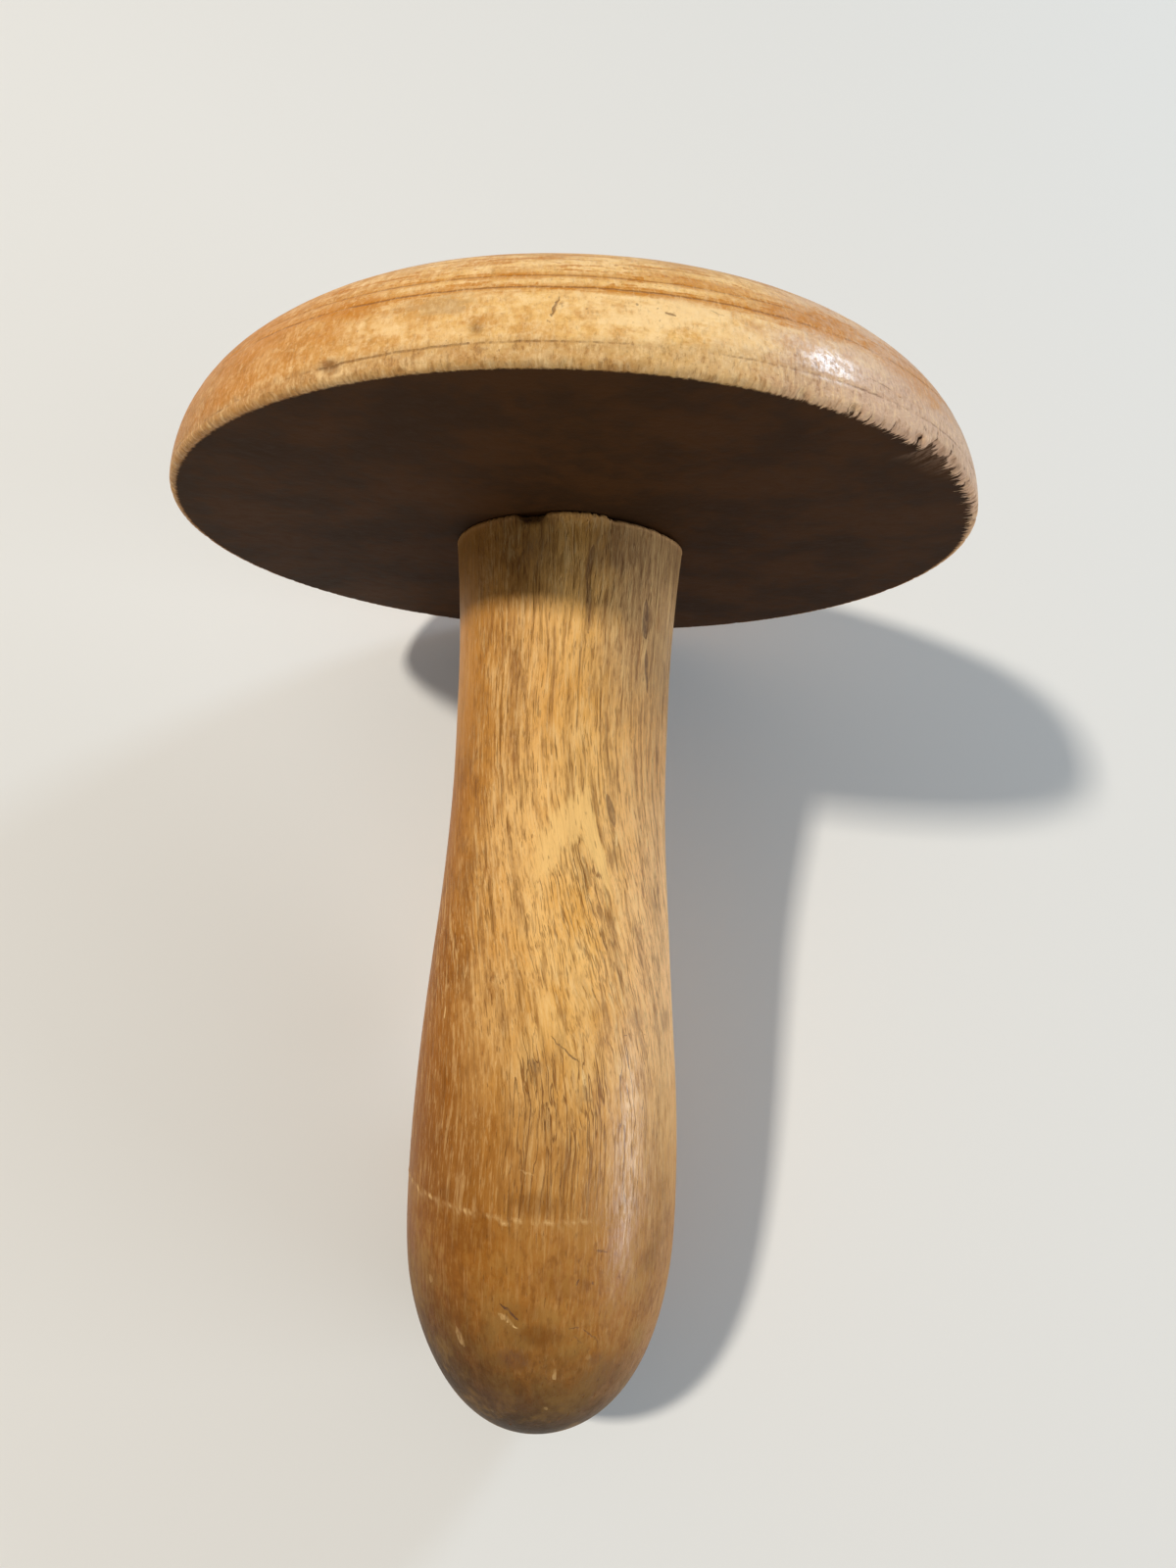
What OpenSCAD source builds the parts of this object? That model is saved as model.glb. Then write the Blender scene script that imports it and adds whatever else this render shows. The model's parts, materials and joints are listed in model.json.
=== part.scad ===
// Darning mushroom: a domed wooden cap on a waisted wooden handle, in millimetres.
// It lies as it does on a table, on the underside edge of the cap and on the handle's bulb.

/* [Cap] */
// Diameter across the rim
cap_d = 74; // [60:0.5:90]
// Thickness from the underside to the top of the dome
cap_h = 17; // [14:0.5:24]
// Radius of the rounded rim, seen from the side
rim_r = 11.8; // [6:0.1:13]
// Radius that breaks the sharp underside edge
edge_r = 0.5; // [0.2:0.1:0.8]
// Height of the scribed line above the underside
scribe_up = 1.4; // [1.4:0.1:4]
// Width of the scribed line
scribe_w = 0.5; // [0.3:0.05:0.8]
// Depth of the scribed line
scribe_deep = 0.2; // [0.1:0.05:0.5]

/* [Handle] */
// Length from the shoulder to the free end
handle_l = 86.5; // [75:0.5:110]
// Diameter at the shoulder, against the cap
neck_d = 22.2; // [21.4:0.2:26]
// Diameter at the waist, the narrowest stretch
waist_d = 20.8; // [16:0.1:21.4]
// Distance from the shoulder to the middle of the waist
waist_at = 16.5; // [8:0.5:28]
// Length of the straight stretch at the waist
waist_l = 4; // [2:0.5:8]
// Diameter of the bulb, the widest place
bulb_d = 26.6; // [22:0.2:32]
// Distance from the shoulder to the widest place
bulb_at = 64.5; // [50:0.5:70]
// Fullness of the rounded end, where 2 is an ellipse and more is blunter
end_fullness = 2.35; // [1.8:0.05:3]

/* [Glued joint] */
// Diameter of the tenon on top of the handle
tenon_d = 12; // [8:0.5:14]
// Length of the tenon above the shoulder
tenon_l = 11.5; // [8:0.5:12]
// Chamfer on the tenon's end
tenon_chamfer = 1; // [0.4:0.1:2]
// Clearance between the tenon and its socket, all filled with glue
glue_gap = 0.1; // [0.05:0.01:0.3]
// Space left above the tenon for spare glue and air
socket_spare = 1; // [0.3:0.1:1.5]

/* [Hidden] */
cap_color = "burlywood";
handle_color = "peru";
glue_color = "wheat";
// Degrees between points along a turned arc, and faces round each piece in a preview
arc_step = 4;
faces_round = 96;
// Points along the neck, along the swell of the bulb, and round the free end
neck_points = 6;
swell_points = 24;
end_points = 20;

// The rim arc's centre lies on the plane of the underside
rim_center = [cap_d / 2 - rim_r, 0];
// The edge arc touches the underside and the rim arc, both without a corner
edge_center = [rim_center.x + sqrt(pow(rim_r - edge_r, 2) - pow(edge_r, 2)), edge_r];
edge_angle = asin(edge_r / (rim_r - edge_r));
// The dome arc's centre lies on the axis, and it meets the rim arc without a corner
dome_r = (pow(rim_center.x, 2) + pow(cap_h, 2) - pow(rim_r, 2)) / (2 * (cap_h - rim_r));
dome_center = [0, cap_h - dome_r];
dome_angle = atan2(-dome_center.y, rim_center.x);
// The scribed line, as angles on the rim arc
scribe_angle = asin(scribe_up / rim_r);
scribe_half = asin(scribe_w / 2 / rim_r);
socket_r = tenon_d / 2 + glue_gap;
socket_h = tenon_l + socket_spare;
neck_end = waist_at - waist_l / 2;
swell_start = waist_at + waist_l / 2;

// Points of an arc as [radius, height], both ends included
function arc(center, r, from, to) =
    let(steps = max(1, ceil(abs(to - from) / arc_step)))
    [for (i = [0:steps]) let(a = from + (to - from) * i / steps) center + r * [cos(a), sin(a)]];

// The handle's radius along the neck, along the swell and round the end, each for a share from 0 to 1
function neck_radius(t) = (waist_d + (neck_d - waist_d) * pow(1 - t, 2)) / 2;
function swell_radius(t) = (waist_d + (bulb_d - waist_d) * (1 - cos(180 * t)) / 2) / 2;
function end_radius(t) = bulb_d / 2 * pow(1 - pow(t, end_fullness), 1 / end_fullness);

// Outlines as [radius, height above the shoulder], from the underside up and from the shoulder down
cap_outline = concat(
    arc(edge_center, edge_r, -90, edge_angle - arc_step),
    arc(rim_center, rim_r, edge_angle, scribe_angle - scribe_half),
    [rim_center + (rim_r - scribe_deep) * [cos(scribe_angle), sin(scribe_angle)]],
    arc(rim_center, rim_r, scribe_angle + scribe_half, dome_angle),
    arc(dome_center, dome_r, dome_angle + arc_step / 2, 90)
);
handle_outline = concat(
    [for (i = [0:neck_points]) [neck_radius(i / neck_points), -neck_end * i / neck_points]],
    [for (i = [0:swell_points])
        [swell_radius(i / swell_points), -swell_start - (bulb_at - swell_start) * i / swell_points]],
    [for (i = [1:end_points]) let(t = sin(90 * i / end_points))
        [end_radius(t), -bulb_at - (handle_l - bulb_at) * t]]
);

// At rest the axis leans so that one straight line touches the cap's edge and the bulb
lean_slope = max([for (c = cap_outline) min([for (h = handle_outline) (c.x - h.x) / (c.y - h.y)])]);
lean = atan(lean_slope);
outline = concat(cap_outline, handle_outline);
lift = max([for (p = outline) p.x * cos(lean) - p.y * sin(lean)]);
front = min([for (p = outline) p.y * cos(lean) - p.x * sin(lean)]);
back = max([for (p = outline) p.y * cos(lean) + p.x * sin(lean)]);

// Lays a piece down from its own axis, centred over the floor, with the cap towards +Y
module at_rest() {
    translate([0, -(front + back) / 2, lift])
        rotate([lean - 90, 0, 0])
            children();
}

module cap() {
    color(cap_color)
        at_rest()
            difference() {
                rotate_extrude($fn = faces_round)
                    polygon(concat([[0, 0]], cap_outline));
                socket();
            }
}

// The blind hole up into the cap, run out past the underside so that it cuts clean
module socket() {
    translate([0, 0, -1])
        cylinder(h = socket_h + 1, r = socket_r, $fn = faces_round);
}

module handle() {
    color(handle_color)
        at_rest() {
            rotate_extrude($fn = faces_round)
                polygon(concat(tenon_outline(), handle_outline));
        }
}

// The tenon's side of the outline, from the axis out to the shoulder
function tenon_outline() = [
    [0, tenon_l],
    [tenon_d / 2 - tenon_chamfer, tenon_l],
    [tenon_d / 2, tenon_l - tenon_chamfer],
    [tenon_d / 2, 0]
];

// Set glue in the gap round the straight part of the tenon
module glue_film() {
    color(glue_color)
        at_rest()
            rotate_extrude($fn = faces_round)
                translate([tenon_d / 2, 0])
                    square([glue_gap, tenon_l - tenon_chamfer]);
}

cap();
handle();
glue_film();
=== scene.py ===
import json
import math
import bpy
import numpy as np
from mathutils import Matrix, Vector


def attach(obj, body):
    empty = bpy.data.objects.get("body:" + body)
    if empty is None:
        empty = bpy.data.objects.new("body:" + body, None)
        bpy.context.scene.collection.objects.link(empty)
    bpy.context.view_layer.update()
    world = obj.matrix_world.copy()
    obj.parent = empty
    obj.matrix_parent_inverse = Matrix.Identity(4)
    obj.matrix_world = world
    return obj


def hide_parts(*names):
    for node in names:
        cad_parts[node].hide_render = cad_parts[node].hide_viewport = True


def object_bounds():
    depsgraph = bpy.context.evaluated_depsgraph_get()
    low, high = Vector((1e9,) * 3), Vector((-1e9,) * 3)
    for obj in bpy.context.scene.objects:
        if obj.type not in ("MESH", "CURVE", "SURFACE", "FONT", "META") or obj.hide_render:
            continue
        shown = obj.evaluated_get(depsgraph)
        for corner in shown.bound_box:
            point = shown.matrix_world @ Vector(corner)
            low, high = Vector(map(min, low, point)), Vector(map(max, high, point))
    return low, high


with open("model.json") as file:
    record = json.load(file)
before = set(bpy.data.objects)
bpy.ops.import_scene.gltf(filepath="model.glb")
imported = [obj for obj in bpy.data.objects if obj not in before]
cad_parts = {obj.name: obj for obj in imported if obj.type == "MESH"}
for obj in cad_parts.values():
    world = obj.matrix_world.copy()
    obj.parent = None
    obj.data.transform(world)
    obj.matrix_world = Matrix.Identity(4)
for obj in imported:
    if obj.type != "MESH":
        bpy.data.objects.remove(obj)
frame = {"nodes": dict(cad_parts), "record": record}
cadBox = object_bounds()
print("frame loaded:", sorted(frame["nodes"]))

mm = 0.001

# Both turned pieces share one axis. Heights are measured along it from the shoulder, where the cap
# sits on the handle, and turns are degrees round it from the side that faces up, positive to +X.


def tint(red, green, blue):       # a colour as a screen shows it, from 0 to 255
    return tuple(((c / 255 + 0.055) / 1.055) ** 2.4 for c in (red, green, blue)) + (1.0,)


# A node's socket, so that sums of sockets read as sums
class Wire:
    def __init__(self, graph, socket):
        self.graph = graph
        self.socket = socket

    def __add__(self, other):
        return self.graph.maths("ADD", self, other)

    def __radd__(self, other):
        return self.graph.maths("ADD", other, self)

    def __sub__(self, other):
        return self.graph.maths("SUBTRACT", self, other)

    def __rsub__(self, other):
        return self.graph.maths("SUBTRACT", other, self)

    def __mul__(self, other):
        return self.graph.maths("MULTIPLY", self, other)

    def __rmul__(self, other):
        return self.graph.maths("MULTIPLY", other, self)

    def __truediv__(self, other):
        return self.graph.maths("DIVIDE", self, other)

    def __rtruediv__(self, other):
        return self.graph.maths("DIVIDE", other, self)


# A node tree that is written as calls. It serves shaders and geometry alike.
class Graph:
    def __init__(self, tree):
        self.tree = tree

    def make(self, kind, settings, values):
        node = self.tree.nodes.new(kind)
        for name, value in settings.items():
            setattr(node, name, value)
        for name, value in values.items():
            if isinstance(value, Wire):
                self.tree.links.new(value.socket, node.inputs[name])
            else:
                node.inputs[name].default_value = value
        return node

    def wire(self, node, name=0):
        return Wire(self, node.outputs[name])

    def maths(self, operation, *values):
        node = self.make("ShaderNodeMath", {"operation": operation}, dict(enumerate(values)))
        return self.wire(node)

    def most(self, first, *others):           # the largest of several masks
        for other in others:
            first = self.maths("MAXIMUM", first, other)
        return first

    def vector(self, operation, *values):
        node = self.make("ShaderNodeVectorMath", {"operation": operation}, dict(enumerate(values)))
        return self.wire(node)

    def scaled(self, vector, factor):
        return self.wire(self.make("ShaderNodeVectorMath", {"operation": "SCALE"},
                                   {0: vector, "Scale": factor}))

    def split(self, vector):
        node = self.make("ShaderNodeSeparateXYZ", {}, {0: vector})
        return [self.wire(node, i) for i in range(3)]

    def join(self, x, y, z):
        return self.wire(self.make("ShaderNodeCombineXYZ", {}, {0: x, 1: y, 2: z}))

    def ease(self, value, low, high):         # 0 at low, 1 at high, smooth between
        settings = {"interpolation_type": "SMOOTHSTEP"}
        values = {0: value, 1: low, 2: high, 3: 0.0, 4: 1.0}
        return self.wire(self.make("ShaderNodeMapRange", settings, values))

    def colours(self, share, first, second):
        settings = {"data_type": "RGBA", "blend_type": "MIX"}
        return self.wire(self.make("ShaderNodeMix", settings, {0: share, 6: first, 7: second}), 2)

    def attribute(self, name):
        return self.wire(self.make("ShaderNodeAttribute", {"attribute_name": name}, {}), "Fac")

    def noise(self, spot, stretch, detail=3.0, rough=0.55, shift=(0, 0, 0)):
        moved = self.make("ShaderNodeMapping", {}, {"Vector": spot, "Location": shift, "Scale": stretch})
        values = {"Vector": self.wire(moved), "Scale": 1.0, "Detail": detail, "Roughness": rough}
        return self.wire(self.make("ShaderNodeTexNoise", {}, values))


# A colour built up in layers. Each covers what lies below it by its share, with one of the piece's
# tones or with a colour worked out in the same tree.
class Paint:
    def __init__(self, graph, tones, start):
        self.graph = graph
        self.tones = tones
        self.colour = tones.get(start, start)

    def over(self, share, tone):
        self.colour = self.graph.colours(share, self.colour, self.tones.get(tone, tone))

    # Each layer is a noise, where its mask starts and where it is full, its share and its tone
    def flecks(self, layers):
        for noise, low, high, share, tone in layers:
            self.over(self.graph.ease(noise, low, high) * share, tone)


def stray(noise, reach):          # a noise from 0 to 1, as a shift to either side
    return (noise - 0.5) * reach


def arcPoints(centre, radius, start, stop, count):
    angles = np.radians(np.linspace(start, stop, count))
    return [(centre[0] + radius * math.cos(a), centre[1] + radius * math.sin(a)) for a in angles]


# The lathe: turns an outline round the axis, with the slight unevenness of hand work and wear

def latheTree():
    tree = bpy.data.node_groups.new("lathe", "GeometryNodeTree")
    sockets = [
        ("Outline", "INPUT", "NodeSocketGeometry"),
        ("Slices", "INPUT", "NodeSocketInt"),
        ("Unevenness", "INPUT", "NodeSocketFloat"),
        ("Uneven Size", "INPUT", "NodeSocketFloat"),
        ("Even Inside", "INPUT", "NodeSocketFloat"),
        ("Seed", "INPUT", "NodeSocketFloat"),
        ("Finish", "INPUT", "NodeSocketMaterial"),
        ("Turned", "OUTPUT", "NodeSocketGeometry"),
    ]
    for name, way, kind in sockets:
        tree.interface.new_socket(name, in_out=way, socket_type=kind)
    graph = Graph(tree)
    given = graph.make("NodeGroupInput", {}, {})
    outline = graph.wire(given, "Outline")
    size = graph.make("GeometryNodeAttributeDomainSize", {"component": "MESH"}, {"Geometry": outline})
    rings = graph.wire(size, "Point Count")
    grid = graph.make("GeometryNodeMeshGrid", {}, {
        "Size X": 1.0, "Size Y": 1.0,
        "Vertices X": graph.wire(given, "Slices") + 1, "Vertices Y": rings})
    position = graph.wire(graph.make("GeometryNodeInputPosition", {}, {}))
    across, along = graph.split(position)[:2]
    turn = (across + 0.5) * math.tau
    ring = graph.maths("ROUND", (along + 0.5) * (rings - 1))
    sample = graph.make("GeometryNodeSampleIndex", {"data_type": "FLOAT_VECTOR", "domain": "POINT"},
                        {"Geometry": outline, "Value": position, "Index": ring})
    radius = graph.split(graph.wire(sample))[0]
    height = graph.split(graph.wire(sample))[2]
    outwards = graph.join(graph.maths("SINE", turn), 0 - graph.maths("COSINE", turn), 0.0)
    even = graph.vector("ADD", graph.scaled(outwards, radius), graph.join(0.0, 0.0, height))
    lumps = graph.wire(graph.make("ShaderNodeTexNoise", {"noise_dimensions": "4D"}, {
        "Vector": even, "W": graph.wire(given, "Seed"), "Detail": 1.0,
        "Scale": 1 / graph.wire(given, "Uneven Size")}))
    inside = graph.wire(given, "Even Inside")
    swing = (lumps - 0.5) * 2 * graph.wire(given, "Unevenness")
    swing = swing * graph.ease(radius, inside, inside * 1.6)
    moved = graph.make("GeometryNodeSetPosition", {}, {
        "Geometry": graph.wire(grid, "Mesh"), "Position": even, "Offset": graph.scaled(outwards, swing)})
    closed = graph.make("GeometryNodeMergeByDistance", {}, {
        "Geometry": graph.wire(moved), "Distance": 0.002 * mm})
    smooth = graph.make("GeometryNodeSetShadeSmooth", {}, {"Geometry": graph.wire(closed)})
    real = graph.make("GeometryNodeRealizeInstances", {}, {"Geometry": graph.wire(smooth)})
    done = graph.make("GeometryNodeSetMaterial", {}, {
        "Geometry": graph.wire(real), "Material": graph.wire(given, "Finish")})
    graph.make("NodeGroupOutput", {}, {"Turned": graph.wire(done)})
    return tree


lathe = latheTree()
inputName = {s.name: s.identifier for s in lathe.interface.items_tree if s.in_out == "INPUT"}
print("lathe ready")


# Turns one outline, given in millimetres, into a plain mesh in metres about its own axis
def turnPiece(name, outline, facts, finish):
    mesh = bpy.data.meshes.new(name + "Outline")
    points = [(r * mm, 0, h * mm) for r, h in outline]
    mesh.from_pydata(points, [(i, i + 1) for i in range(len(points) - 1)], [])
    blank = bpy.data.objects.new(name + "Blank", mesh)
    bpy.context.scene.collection.objects.link(blank)
    modifier = blank.modifiers.new("lathe", "NODES")
    modifier.node_group = lathe
    inputs = {
        "Slices": facts["slices"],
        "Unevenness": facts["unevenness"] * mm,
        "Uneven Size": facts["unevenSize"] * mm,
        "Even Inside": facts["evenInside"] * mm,
        "Seed": facts["seed"],
        "Finish": finish,
    }
    for label, value in inputs.items():
        modifier[inputName[label]] = value
    depsgraph = bpy.context.evaluated_depsgraph_get()
    turned = bpy.data.meshes.new_from_object(blank.evaluated_get(depsgraph), depsgraph=depsgraph)
    bpy.data.objects.remove(blank)
    turned.name = name
    piece = bpy.data.objects.new(name, turned)
    bpy.context.scene.collection.objects.link(piece)
    return piece


# Wear, pressed and torn into a turned piece before it is laid down

def readPoints(mesh, field="co"):
    flat = np.zeros(len(mesh.vertices) * 3)
    if field == "co":
        mesh.vertices.foreach_get("co", flat)
    else:
        mesh.vertex_normals.foreach_get("vector", flat)
    return flat.reshape(-1, 3)


def ease(value, low, high):
    share = np.clip((value - low) / (high - low), 0, 1)
    return share * share * (3 - 2 * share)


def ripple(turn, seed, coarsest, finest):     # uneven round the axis, from about -1 to 1
    dice = np.random.default_rng(seed)
    total = np.zeros_like(turn)
    counts = range(coarsest, finest, max(1, (finest - coarsest) // 90))
    for count in counts:
        total += dice.normal() * np.cos(np.radians(turn) * count + dice.uniform(0, math.tau))
    return total / math.sqrt(len(counts))


def onPiece(radiusAt, height, turn):
    angle = math.radians(turn)
    radius = radiusAt(height)
    return np.array([radius * math.sin(angle), -radius * math.cos(angle), height])


# Presses each mark in along the normals, and gives how pale and how dark it leaves the surface
def pressMarks(points, normals, marks, radiusAt):
    shade = {"pale": np.zeros(len(points)), "dark": np.zeros(len(points))}
    dip = np.zeros(len(points))
    for mark in marks:
        start, end = (onPiece(radiusAt, *mark[key]) for key in ("from", "to"))
        line = end - start
        share = np.clip((points - start) @ line / (line @ line), 0, 1)
        gap = np.linalg.norm(points - start - share[:, None] * line, axis=1)
        near = np.exp(-(gap / mark["wide"]) ** 2)
        dip += mark["deep"] * near
        for key, amount in shade.items():
            amount += mark.get(key, 0) * np.clip(near * 1.5, 0, 1)
    points -= normals * dip[:, None]
    return shade


def keepField(mesh, name, amount):
    layer = mesh.attributes.new(name, "FLOAT", "POINT")
    layer.data.foreach_set("value", amount.astype(np.float32))


def writePoints(mesh, points):
    mesh.vertices.foreach_set("co", (points * mm).ravel())
    mesh.update()


def turnsOf(points):
    return np.degrees(np.arctan2(points[:, 0], -points[:, 1]))


# What the finishes share. A finish is worked out in millimetres about the piece's axis.

def startFinish(name):
    finish = bpy.data.materials.new(name)
    finish.use_nodes = True
    finish.node_tree.nodes.clear()
    graph = Graph(finish.node_tree)
    place = graph.wire(graph.make("ShaderNodeTexCoord", {}, {}), "Object")
    back = axisTurn.transposed()
    origin = -(back @ shoulderSpot) / mm
    spot = graph.wire(graph.make("ShaderNodeMapping", {}, {
        "Vector": place, "Location": tuple(origin), "Rotation": tuple(back.to_euler()),
        "Scale": (1 / mm, 1 / mm, 1 / mm)}))
    return finish, graph, spot


def endFinish(graph, colour, roughness, height, coat, settings):
    bump = graph.make("ShaderNodeBump", {}, {"Strength": 1.0, "Distance": mm, "Height": height})
    values = {"Base Color": colour, "Roughness": roughness, "Normal": graph.wire(bump), "Coat Weight": coat}
    values.update(settings)
    shader = graph.make("ShaderNodeBsdfPrincipled", {}, values)
    graph.make("ShaderNodeOutputMaterial", {}, {"Surface": graph.wire(shader)})


# Open pores as fine grooves along Z, denser where there is more of them
def poresOf(graph, spot, amount):
    long = graph.noise(spot, (2.7, 2.7, 0.07), detail=2.5, rough=0.58, shift=(3, 1, 7))
    short = graph.noise(spot, (5.6, 5.6, 0.6), detail=1.5, rough=0.5, shift=(9, 4, 2))
    longCut = 0.66 - amount * 0.13
    shortCut = 0.69 - amount * 0.13
    longMask = graph.ease(long, longCut, longCut + 0.12)
    shortMask = graph.ease(short, shortCut, shortCut + 0.1)
    return graph.most(longMask, shortMask * 0.75)


def lineMask(graph, spot, lines, radiusAt):
    total = 0.0
    for start, stop, half, amount in lines:
        first, last = (onPiece(radiusAt, *place) for place in (start, stop))
        along = last - first
        off = graph.vector("SUBTRACT", spot, tuple(first))
        dot = graph.make("ShaderNodeVectorMath", {"operation": "DOT_PRODUCT"}, {0: off, 1: tuple(along)})
        share = graph.wire(dot, "Value") * (1 / float(along @ along))
        share = graph.maths("MINIMUM", graph.most(share, 0.0), 1.0)
        gap = graph.vector("SUBTRACT", off, graph.scaled(tuple(along), share))
        length = graph.make("ShaderNodeVectorMath", {"operation": "LENGTH"}, {0: gap})
        thin = graph.maths("SQRT", graph.most(share * (1 - share) * 4, 0.05)) * half
        mask = 1 - graph.ease(graph.wire(length, "Value") / thin, 0.45, 1.1)
        total = graph.most(total, mask * amount)
    return total


def patchMask(graph, turned, z, radius, patches, fray):
    total = 0.0
    for height, turn, tall, wide, amount in patches:
        across = (turned - math.radians(turn)) * (radius / wide)
        up = (z - height) * (1 / tall)
        gap = graph.maths("SQRT", across * across + up * up) + fray
        total = graph.most(total, (1 - graph.ease(gap, 0.3, 1.05)) * amount)
    return total


# The cap: what a user would change, in millimetres and degrees
capFacts = {
    "across": 74,
    "thick": 17,
    "rimRound": 11.8,
    "edgeRound": 0.5,
    "socketAcross": 12.2,
    "socketDeep": 12.5,
    "slices": 1150,
    "unevenness": 0.14,
    "unevenSize": 14,
    "evenInside": 14,
    "seed": 2.0,
    # The scribed line sinks towards -X, and never below its lowest height
    "scribe": {"up": 1.42, "tilt": 0.55, "droop": 1.6, "lowest": 0.6, "wide": 0.34, "deep": 0.05},
    # Two fine lines cut by the tool, each with its height and how strongly it is coloured
    "toolLines": {"heights": (5.35, 6.43), "strengths": (1.0, 0.7), "deep": 0.05, "wide": 0.16},
    # Torn fibres and chips along the underside edge, ragged between two turns
    "edgeWear": {"fibre": 0.05, "raggedFibre": 0.09, "chip": 0.36, "reach": 0.42,
                 "from": 10, "full": 32, "fades": 74, "to": 88},
    # Where a splinter has come out of the edge
    "bite": {"turn": 43, "long": 13, "deep": 0.6, "inwards": 3.4},
    "dents": [
        {"from": (2.32, -10.35), "to": (2.3, -10.1), "wide": 0.5, "deep": 0.09, "dark": 0.3},
        {"from": (1.15, -26.3), "to": (0.95, -25.6), "wide": 0.4, "deep": 0.22, "dark": 0.55},
        {"from": (0.8, -27.4), "to": (0.65, -24.8), "wide": 0.35, "deep": 0.12, "pale": 0.5},
        {"from": (0.35, -17.2), "to": (0.3, -15.6), "wide": 0.3, "deep": 0.1, "pale": 0.6},
        {"from": (5.2, -100), "to": (3.4, -97), "wide": 0.3, "deep": 0.15, "dark": 0.4},
        {"from": (3.2, 142), "to": (4.4, 146), "wide": 0.35, "deep": 0.15, "dark": 0.4},
    ],
    # Scratches and cracks, each from a height and turn to another, with half its width and how dark it is
    "scratches": [
        ((4.56, -2.45), (2.95, -3.15), 0.16, 0.8),
        ((4.3, -2.0), (3.6, -2.3), 0.09, 0.4),
        ((1.3, -26.9), (0.85, -25.4), 0.12, 0.9),
        ((1.25, -25.5), (1.0, -26.6), 0.11, 0.8),
        ((3.86, 7.7), (3.7, 8.9), 0.1, 0.8),
        ((4.28, 4.9), (4.24, 5.2), 0.12, 0.6),
        ((2.75, 31.0), (2.45, 36.5), 0.08, 0.5),
        ((4.5, 12.5), (4.35, 14.0), 0.08, 0.4),
    ],
    # Stains, grey and pale patches, dark spots and burnished places, each at a height and turn, with
    # its reach up and round in millimetres and its strength
    "stains": [
        (5.2, -26.0, 1.2, 3.6, 1.0),
        (3.6, -27.5, 1.2, 2.2, 0.6),
        (4.2, -38.0, 1.4, 4.2, 0.45),
        (6.4, -8.0, 0.6, 3.4, 0.7),
        (5.7, 24.0, 1.3, 8.0, 1.0),
        (6.3, 27.5, 1.3, 6.0, 1.0),
        (6.9, 13.0, 0.7, 6.5, 0.8),
        (5.1, 11.0, 0.4, 4.6, 0.75),
        (5.2, 41.0, 2.6, 6.0, 0.7),
        (4.6, -56.0, 2.6, 7.0, 0.35),
        (4.4, 96.0, 1.6, 7.0, 0.8),
        (5.4, -118.0, 1.4, 9.0, 0.8),
        (5.0, 160.0, 1.5, 8.0, 0.8),
    ],
    "greys": [
        (4.3, -14.5, 1.1, 3.0, 0.9),
        (1.5, 22.5, 1.1, 2.6, 0.8),
        (1.0, 1.0, 0.7, 3.0, 0.3),
        (0.9, 48.0, 1.2, 4.0, 0.5),
    ],
    "pales": [(3.8, 8.0, 1.7, 5.5, 1.0), (3.0, 15.0, 1.2, 4.0, 0.6)],
    "spots": [
        (1.2, -26.4, 0.55, 1.0, 0.8),
        (2.32, -10.3, 0.4, 0.55, 0.7),
        (2.6, -118.0, 0.5, 0.9, 0.7),
    ],
    "shine": [(2.75, 26.0, 1.7, 3.8, 1.0), (3.4, 23.0, 3.0, 9.0, 0.4)],
    "tones": {
        "cream": tint(242, 194, 120),
        "raw": tint(255, 218, 160),
        "rosy": tint(210, 172, 144),
        "rosyDark": tint(152, 106, 74),
        "umber": tint(148, 94, 28),
        "amber": tint(198, 124, 22),
        "tan": tint(196, 130, 52),
        "grey": tint(184, 144, 94),
        "dome": tint(188, 126, 58),
        "domeDark": tint(150, 92, 38),
        # The underside tones are painted darker than the bare wood, as painted shade under the cap.
        "under": tint(60, 34, 7),
        "underShadeDark": tint(45, 25, 4),
        "line": tint(112, 66, 20),
        "pore": tint(134, 86, 36),
    },
}
rimReach = 36          # millimetres round the rim for each radian of turn

# Where the axis lies in the row, from the mount on top of the dome
domeMount = next(m for m in frame["record"]["mounts"] if m["name"] == "working_dome")
axisUp = Vector(domeMount["axis"]).normalized()
shoulderSpot = Vector(domeMount["pos_m"]) - axisUp * capFacts["thick"] * mm
axisSide = Vector((1, 0, 0))
axisBack = axisUp.cross(axisSide)
axisTurn = Matrix((axisSide, axisBack, axisUp)).transposed()
toRow = Matrix.Translation(shoulderSpot) @ axisTurn.to_4x4()


def layDown(piece):
    piece.data.transform(toRow)
    piece.data.update()


rimCentre = (capFacts["across"] / 2 - capFacts["rimRound"], 0)
rimToEdge = capFacts["rimRound"] - capFacts["edgeRound"]
edgeCentre = (rimCentre[0] + math.sqrt(rimToEdge ** 2 - capFacts["edgeRound"] ** 2), capFacts["edgeRound"])
edgeAngle = math.degrees(math.asin(capFacts["edgeRound"] / rimToEdge))
domeRound = ((rimCentre[0] ** 2 + capFacts["thick"] ** 2 - capFacts["rimRound"] ** 2)
             / (2 * (capFacts["thick"] - capFacts["rimRound"])))
domeCentre = (0, capFacts["thick"] - domeRound)
domeAngle = math.degrees(math.atan2(-domeCentre[1], rimCentre[0]))


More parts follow.
